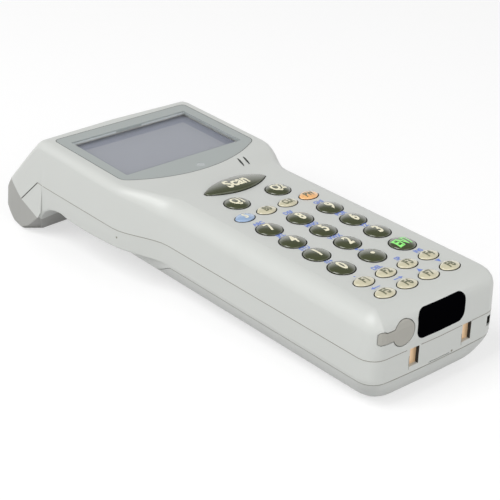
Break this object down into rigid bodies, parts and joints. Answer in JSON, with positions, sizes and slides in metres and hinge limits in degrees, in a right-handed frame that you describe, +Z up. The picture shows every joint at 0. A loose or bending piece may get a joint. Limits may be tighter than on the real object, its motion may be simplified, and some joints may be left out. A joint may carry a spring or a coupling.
{
  "type": "portable barcode data terminal",
  "caption": "Handheld data terminal with a wide screen head, a hooked scanner nose, sprung keypad, hinged battery lid, rubber jack flap and charging contacts.",
  "frame": {"origin": "middle of the bounding box on the table the terminal rests on", "axes": "+Y runs from the tail face to the scanner nose, +X to the right of the keypad, +Z up from the table"},
  "size_m": [0.0708, 0.1976, 0.0412],
  "materials": {
    "case": "fine satin",
    "lid": "fine satin",
    "warm_grey": "fine satin",
    "flap": "matt",
    "bezel": "satin",
    "clear": "clear",
    "light": "smooth",
    "lcd": "satin",
    "steel": "bright",
    "film": "satin",
    "mat": "matt",
    "board": "satin",
    "brass": "bright",
    "black": "matt",
    "ir": "polished",
    "copper": "bright",
    "red": "polished",
    "pack": "satin",
    "seal": "matt",
    "key_olive": "polished",
    "key_beige": "polished",
    "key_blue": "polished",
    "key_orange": "polished"
  },
  "bodies": {
    "terminal": {"upper_case": "case", "lower_case": "case", "nose_hood": "warm_grey", "screen_bezel": "bezel", "screen_window": "clear", "indicator_light": "light", "lcd_panel": "lcd", "lcd_frame": "steel", "lcd_ribbon": "film", "keypad_mat": "mat", "contact_sheet": "steel", "key_board": "board", "board_spacers": "brass", "main_board": "board", "board_chips": "black", "buzzer": "black", "backup_cell": "steel", "ir_window": "ir", "ir_module": "black", "jack_socket": "black", "charge_contacts": "copper", "scan_window": "red", "scan_engine": "black", "scan_light_bar": "red", "scan_bracket": "steel", "scan_ribbon": "film", "battery_contacts": "brass", "case_seal": "seal", "case_screws": "steel", "hinge_pin": "steel"},
    "battery_cover": {"battery_cover": "lid", "battery_pack": "pack"},
    "jack_plug": {"jack_plug": "flap"},
    "key_scan": {"key_scan": "key_olive"},
    "key_q1": {"key_q1": "key_olive"},
    "key_q2": {"key_q2": "key_olive"},
    "key_shift": {"key_shift": "key_blue"},
    "key_backspace": {"key_backspace": "key_beige"},
    "key_clear": {"key_clear": "key_beige"},
    "key_power": {"key_power": "key_orange"},
    "key_7": {"key_7": "key_olive"},
    "key_8": {"key_8": "key_olive"},
    "key_9": {"key_9": "key_olive"},
    "key_4": {"key_4": "key_olive"},
    "key_5": {"key_5": "key_olive"},
    "key_6": {"key_6": "key_olive"},
    "key_1": {"key_1": "key_olive"},
    "key_2": {"key_2": "key_olive"},
    "key_3": {"key_3": "key_olive"},
    "key_0": {"key_0": "key_olive"},
    "key_point": {"key_point": "key_olive"},
    "key_enter": {"key_enter": "key_olive"},
    "key_f1": {"key_f1": "key_beige"},
    "key_f2": {"key_f2": "key_beige"},
    "key_f3": {"key_f3": "key_beige"},
    "key_f4": {"key_f4": "key_beige"},
    "key_f5": {"key_f5": "key_beige"},
    "key_f6": {"key_f6": "key_beige"},
    "key_f7": {"key_f7": "key_beige"},
    "key_f8": {"key_f8": "key_beige"}
  },
  "joints": [
    {"name": "cover_hinge", "type": "hinge", "parent": "terminal", "child": "battery_cover", "pos_m": [0, 0.01665, 0.00519], "axis": [1, 0, 0], "range_deg": [0, 35]},
    {"name": "plug_hinge", "type": "hinge", "parent": "terminal", "child": "jack_plug", "pos_m": [-0.0262, -0.09846, 0.02502], "axis": [0, -0.0345, 0.9994], "range_deg": [-110, 0]},
    {"name": "key_scan_press", "type": "slide", "parent": "terminal", "child": "key_scan", "axis": [0, 0.0345, -0.9994], "range_m": [0, 0.0008], "stiffness_N_per_m": 300, "springref_m": -0.002},
    {"name": "key_q1_press", "type": "slide", "parent": "terminal", "child": "key_q1", "axis": [0, 0.0345, -0.9994], "range_m": [0, 0.0008], "stiffness_N_per_m": 300, "springref_m": -0.002},
    {"name": "key_q2_press", "type": "slide", "parent": "terminal", "child": "key_q2", "axis": [0, 0.0345, -0.9994], "range_m": [0, 0.0008], "stiffness_N_per_m": 300, "springref_m": -0.002},
    {"name": "key_shift_press", "type": "slide", "parent": "terminal", "child": "key_shift", "axis": [0, 0.0345, -0.9994], "range_m": [0, 0.0008], "stiffness_N_per_m": 300, "springref_m": -0.002},
    {"name": "key_backspace_press", "type": "slide", "parent": "terminal", "child": "key_backspace", "axis": [0, 0.0345, -0.9994], "range_m": [0, 0.0008], "stiffness_N_per_m": 300, "springref_m": -0.002},
    {"name": "key_clear_press", "type": "slide", "parent": "terminal", "child": "key_clear", "axis": [0, 0.0345, -0.9994], "range_m": [0, 0.0008], "stiffness_N_per_m": 300, "springref_m": -0.002},
    {"name": "key_power_press", "type": "slide", "parent": "terminal", "child": "key_power", "axis": [0, 0.0345, -0.9994], "range_m": [0, 0.0008], "stiffness_N_per_m": 300, "springref_m": -0.002},
    {"name": "key_7_press", "type": "slide", "parent": "terminal", "child": "key_7", "axis": [0, 0.0345, -0.9994], "range_m": [0, 0.0008], "stiffness_N_per_m": 300, "springref_m": -0.002},
    {"name": "key_8_press", "type": "slide", "parent": "terminal", "child": "key_8", "axis": [0, 0.0345, -0.9994], "range_m": [0, 0.0008], "stiffness_N_per_m": 300, "springref_m": -0.002},
    {"name": "key_9_press", "type": "slide", "parent": "terminal", "child": "key_9", "axis": [0, 0.0345, -0.9994], "range_m": [0, 0.0008], "stiffness_N_per_m": 300, "springref_m": -0.002},
    {"name": "key_4_press", "type": "slide", "parent": "terminal", "child": "key_4", "axis": [0, 0.0345, -0.9994], "range_m": [0, 0.0008], "stiffness_N_per_m": 300, "springref_m": -0.002},
    {"name": "key_5_press", "type": "slide", "parent": "terminal", "child": "key_5", "axis": [0, 0.0345, -0.9994], "range_m": [0, 0.0008], "stiffness_N_per_m": 300, "springref_m": -0.002},
    {"name": "key_6_press", "type": "slide", "parent": "terminal", "child": "key_6", "axis": [0, 0.0345, -0.9994], "range_m": [0, 0.0008], "stiffness_N_per_m": 300, "springref_m": -0.002},
    {"name": "key_1_press", "type": "slide", "parent": "terminal", "child": "key_1", "axis": [0, 0.0345, -0.9994], "range_m": [0, 0.0008], "stiffness_N_per_m": 300, "springref_m": -0.002},
    {"name": "key_2_press", "type": "slide", "parent": "terminal", "child": "key_2", "axis": [0, 0.0345, -0.9994], "range_m": [0, 0.0008], "stiffness_N_per_m": 300, "springref_m": -0.002},
    {"name": "key_3_press", "type": "slide", "parent": "terminal", "child": "key_3", "axis": [0, 0.0345, -0.9994], "range_m": [0, 0.0008], "stiffness_N_per_m": 300, "springref_m": -0.002},
    {"name": "key_0_press", "type": "slide", "parent": "terminal", "child": "key_0", "axis": [0, 0.0345, -0.9994], "range_m": [0, 0.0008], "stiffness_N_per_m": 300, "springref_m": -0.002},
    {"name": "key_point_press", "type": "slide", "parent": "terminal", "child": "key_point", "axis": [0, 0.0345, -0.9994], "range_m": [0, 0.0008], "stiffness_N_per_m": 300, "springref_m": -0.002},
    {"name": "key_enter_press", "type": "slide", "parent": "terminal", "child": "key_enter", "axis": [0, 0.0345, -0.9994], "range_m": [0, 0.0008], "stiffness_N_per_m": 300, "springref_m": -0.002},
    {"name": "key_f1_press", "type": "slide", "parent": "terminal", "child": "key_f1", "axis": [0, 0.0345, -0.9994], "range_m": [0, 0.0008], "stiffness_N_per_m": 300, "springref_m": -0.002},
    {"name": "key_f2_press", "type": "slide", "parent": "terminal", "child": "key_f2", "axis": [0, 0.0345, -0.9994], "range_m": [0, 0.0008], "stiffness_N_per_m": 300, "springref_m": -0.002},
    {"name": "key_f3_press", "type": "slide", "parent": "terminal", "child": "key_f3", "axis": [0, 0.0345, -0.9994], "range_m": [0, 0.0008], "stiffness_N_per_m": 300, "springref_m": -0.002},
    {"name": "key_f4_press", "type": "slide", "parent": "terminal", "child": "key_f4", "axis": [0, 0.0345, -0.9994], "range_m": [0, 0.0008], "stiffness_N_per_m": 300, "springref_m": -0.002},
    {"name": "key_f5_press", "type": "slide", "parent": "terminal", "child": "key_f5", "axis": [0, 0.0345, -0.9994], "range_m": [0, 0.0008], "stiffness_N_per_m": 300, "springref_m": -0.002},
    {"name": "key_f6_press", "type": "slide", "parent": "terminal", "child": "key_f6", "axis": [0, 0.0345, -0.9994], "range_m": [0, 0.0008], "stiffness_N_per_m": 300, "springref_m": -0.002},
    {"name": "key_f7_press", "type": "slide", "parent": "terminal", "child": "key_f7", "axis": [0, 0.0345, -0.9994], "range_m": [0, 0.0008], "stiffness_N_per_m": 300, "springref_m": -0.002},
    {"name": "key_f8_press", "type": "slide", "parent": "terminal", "child": "key_f8", "axis": [0, 0.0345, -0.9994], "range_m": [0, 0.0008], "stiffness_N_per_m": 300, "springref_m": -0.002}
  ]
}
